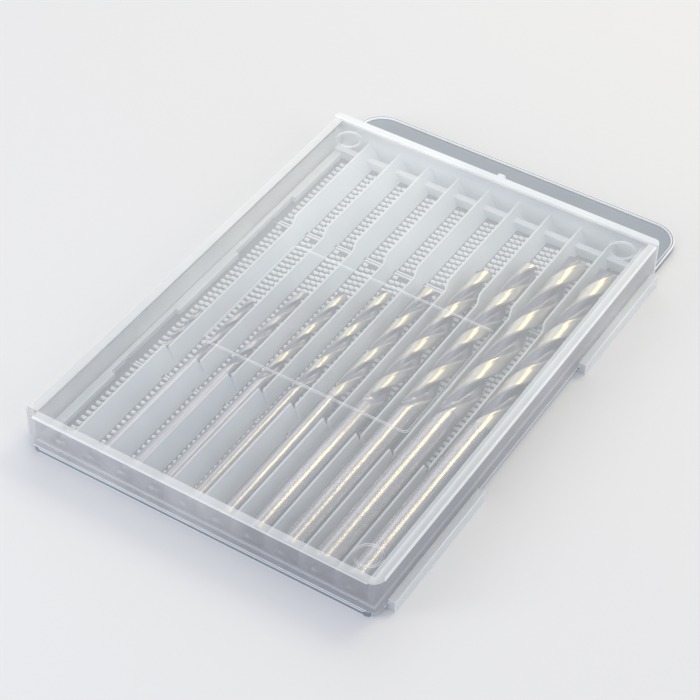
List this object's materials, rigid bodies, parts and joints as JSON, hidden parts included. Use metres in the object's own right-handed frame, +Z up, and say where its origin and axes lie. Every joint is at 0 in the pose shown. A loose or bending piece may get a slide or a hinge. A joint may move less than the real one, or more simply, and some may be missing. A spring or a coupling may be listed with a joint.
{
  "type": "drill bit case",
  "caption": "Flat clear plastic pocket case for a graded set of twist drill bits: a ribbed trough tray with a flap slides out of a cover on rails.",
  "frame": {"origin": "under the middle of the case, on its flat underside", "axes": "+Y along the case from its front wall to the tray's flap, the way the tray slides out; +Z up through the cover's panel; +X across the troughs to the thickest bit"},
  "size_m": [0.0624, 0.0954, 0.007],
  "materials": {
    "cover": "clear gloss",
    "tray": "clear, slightly milky",
    "drill_steel": "straw-tinted high-speed steel"
  },
  "bodies": {
    "cover": {"cover": "cover"},
    "tray": {"tray": "tray"},
    "drill_bit_1": {"drill_bit_1": "drill_steel"},
    "drill_bit_2": {"drill_bit_2": "drill_steel"},
    "drill_bit_3": {"drill_bit_3": "drill_steel"},
    "drill_bit_4": {"drill_bit_4": "drill_steel"},
    "drill_bit_5": {"drill_bit_5": "drill_steel"},
    "drill_bit_6": {"drill_bit_6": "drill_steel"},
    "drill_bit_7": {"drill_bit_7": "drill_steel"},
    "drill_bit_8": {"drill_bit_8": "drill_steel"},
    "drill_bit_9": {"drill_bit_9": "drill_steel"},
    "drill_bit_10": {"drill_bit_10": "drill_steel"}
  },
  "joints": [
    {"name": "tray_slide", "type": "slide", "parent": "cover", "child": "tray", "axis": [0, 1, 0], "range_m": [0, 0.085]},
    {"name": "bit_1_slide", "type": "slide", "parent": "tray", "child": "drill_bit_1", "axis": [0, 1, 0], "range_m": [0, 0.04465]},
    {"name": "bit_2_slide", "type": "slide", "parent": "tray", "child": "drill_bit_2", "axis": [0, 1, 0], "range_m": [0, 0.03865]},
    {"name": "bit_3_slide", "type": "slide", "parent": "tray", "child": "drill_bit_3", "axis": [0, 1, 0], "range_m": [0, 0.03265]},
    {"name": "bit_4_slide", "type": "slide", "parent": "tray", "child": "drill_bit_4", "axis": [0, 1, 0], "range_m": [0, 0.02965]},
    {"name": "bit_5_slide", "type": "slide", "parent": "tray", "child": "drill_bit_5", "axis": [0, 1, 0], "range_m": [0, 0.02565]},
    {"name": "bit_6_slide", "type": "slide", "parent": "tray", "child": "drill_bit_6", "axis": [0, 1, 0], "range_m": [0, 0.02165]},
    {"name": "bit_7_slide", "type": "slide", "parent": "tray", "child": "drill_bit_7", "axis": [0, 1, 0], "range_m": [0, 0.01365]},
    {"name": "bit_8_slide", "type": "slide", "parent": "tray", "child": "drill_bit_8", "axis": [0, 1, 0], "range_m": [0, 0.00865]},
    {"name": "bit_9_slide", "type": "slide", "parent": "tray", "child": "drill_bit_9", "axis": [0, 1, 0], "range_m": [0, 0.00365]},
    {"name": "bit_10_slide", "type": "slide", "parent": "tray", "child": "drill_bit_10", "axis": [0, 1, 0], "range_m": [0, 0.00365]}
  ]
}
